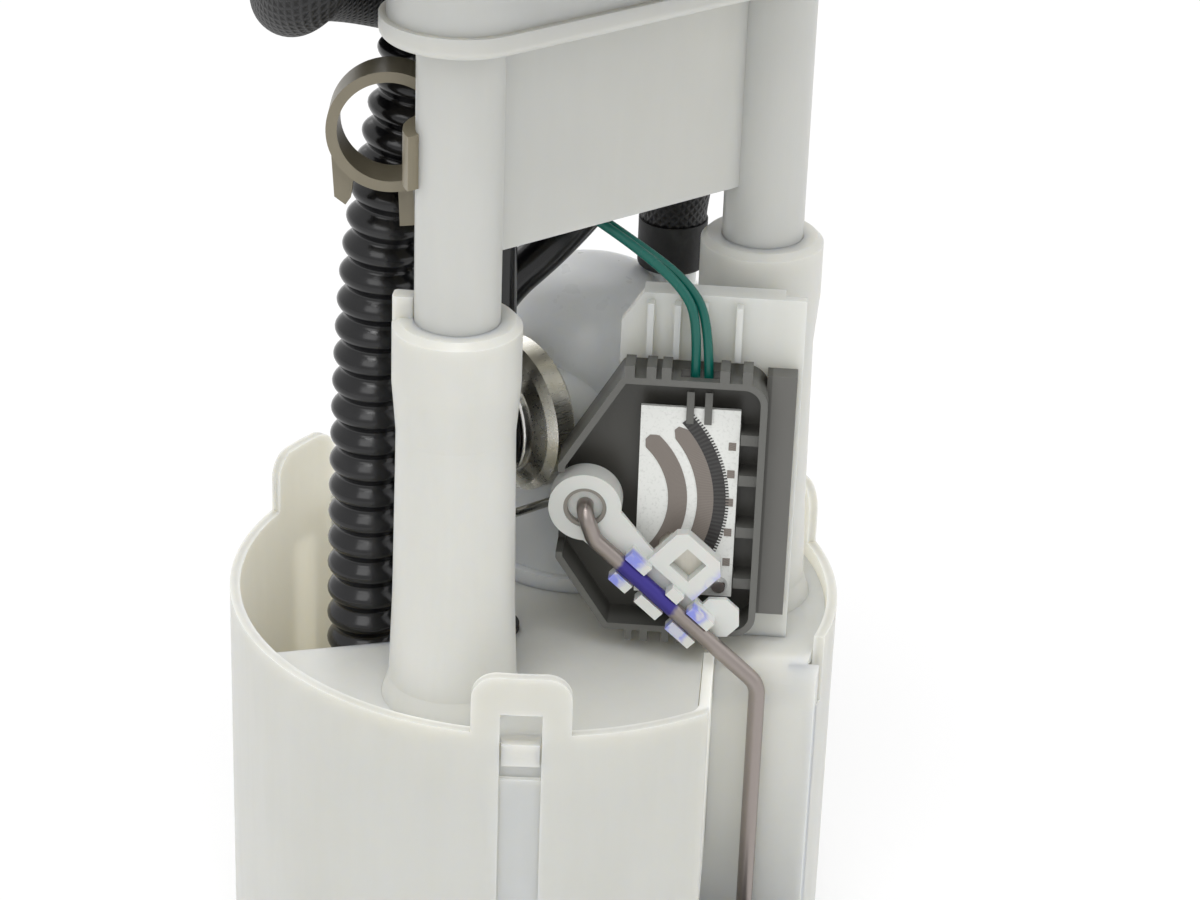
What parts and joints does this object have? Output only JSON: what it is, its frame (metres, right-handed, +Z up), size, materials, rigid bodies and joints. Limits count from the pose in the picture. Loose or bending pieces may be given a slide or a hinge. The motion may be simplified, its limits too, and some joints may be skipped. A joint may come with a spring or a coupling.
{
  "type": "fuel pump module",
  "caption": "Round fuel reservoir with pump, filter and float level sender, sliding on sprung guide posts under a tank flange.",
  "frame": {"origin": "centre of the reservoir's base, on the tank floor", "axes": "+Z up through the flange, +X along the line from the left guide post to the right one"},
  "size_m": [0.144, 0.1438, 0.263],
  "materials": {
    "natural_plastic": "satin, slightly translucent",
    "white_plastic": "satin",
    "cover_plastic": "satin black",
    "grey_plastic": "satin grey",
    "black_rubber": "matte",
    "braid_rubber": "woven cover",
    "hose_plastic": "gloss black",
    "tan_plastic": "satin tan",
    "steel": "bright",
    "plated_steel": "plated",
    "spring_steel": "drawn wire",
    "brass": "plain",
    "magnet": "sintered",
    "filter_paper": "pleated",
    "ceramic": "fired ceramic",
    "track_ink": "printed",
    "float_foam": "closed-cell foam",
    "lead_cover": "green",
    "seal_rubber": "matte",
    "brush_carbon": "carbon"
  },
  "bodies": {
    "reservoir": {"reservoir_bucket": "natural_plastic", "reservoir_deck": "natural_plastic", "deck_grommets": "black_rubber", "sender_bracket": "white_plastic", "sender_housing": "grey_plastic", "resistor_card": "ceramic", "card_tracks": "track_ink", "sender_terminals": "brass", "solder_joint": "steel", "filter_housing": "white_plastic", "filter_element": "filter_paper", "regulator_can": "plated_steel", "regulator_ring": "plated_steel", "regulator_seal": "seal_rubber", "regulator_clip": "plated_steel", "hose_boot": "black_rubber", "pump_can": "steel", "pump_inlet_cap": "white_plastic", "pump_chamber": "white_plastic", "pump_magnets": "magnet", "pump_bearings": "brass", "pump_brushes": "brush_carbon", "pump_top_cap": "white_plastic", "pump_terminals": "brass", "pump_cradle": "natural_plastic", "pump_cushion": "black_rubber", "strainer": "filter_paper", "floor_valve": "seal_rubber", "jet_pump": "grey_plastic", "guide_spring_left": "spring_steel", "guide_spring_right": "spring_steel", "corrugated_hose": "hose_plastic", "braided_hose": "braid_rubber", "vent_tube": "hose_plastic", "lead_sleeve": "hose_plastic", "sender_lead_a": "lead_cover", "sender_lead_b": "lead_cover"},
    "flange": {"flange_cover": "cover_plastic", "flange_terminals": "brass", "flange_seal": "seal_rubber", "guide_frame": "natural_plastic", "outlet_fitting": "cover_plastic", "return_fitting": "cover_plastic", "vent_fitting": "cover_plastic", "harness_plug": "grey_plastic", "hose_clip": "tan_plastic"},
    "float_arm": {"arm_holder": "white_plastic", "pivot_bush": "brass", "float_wire": "plated_steel", "wiper_contact": "brass", "float_keeper": "steel"},
    "float": {"fuel_float": "float_foam"},
    "pump_rotor": {"pump_armature": "steel", "pump_shaft": "steel", "pump_commutator": "brass", "pump_impeller": "grey_plastic"}
  },
  "joints": [
    {"name": "flange_slide", "type": "slide", "parent": "reservoir", "child": "flange", "axis": [0, 0, 1], "range_m": [-0.011, 0], "stiffness_N_per_m": 300, "springref_m": 0.05, "deforming": ["corrugated_hose", "braided_hose", "vent_tube", "lead_sleeve", "sender_lead_a", "sender_lead_b", "guide_spring_left", "guide_spring_right"]},
    {"name": "float_swing", "type": "hinge", "parent": "reservoir", "child": "float_arm", "pos_m": [-0.00521, -0.02222, 0.11], "axis": [-0.6691, -0.7431, 0], "range_deg": [0, 80]},
    {"name": "float_swivel", "type": "hinge", "parent": "float_arm", "child": "float", "pos_m": [0.00697, -0.0601, 0.0116], "axis": [-0.6691, -0.7431, 0], "continuous": true},
    {"name": "rotor_spin", "type": "hinge", "parent": "reservoir", "child": "pump_rotor", "pos_m": [0.0203, 0.011, 0.04], "axis": [0, 0, 1], "continuous": true}
  ]
}
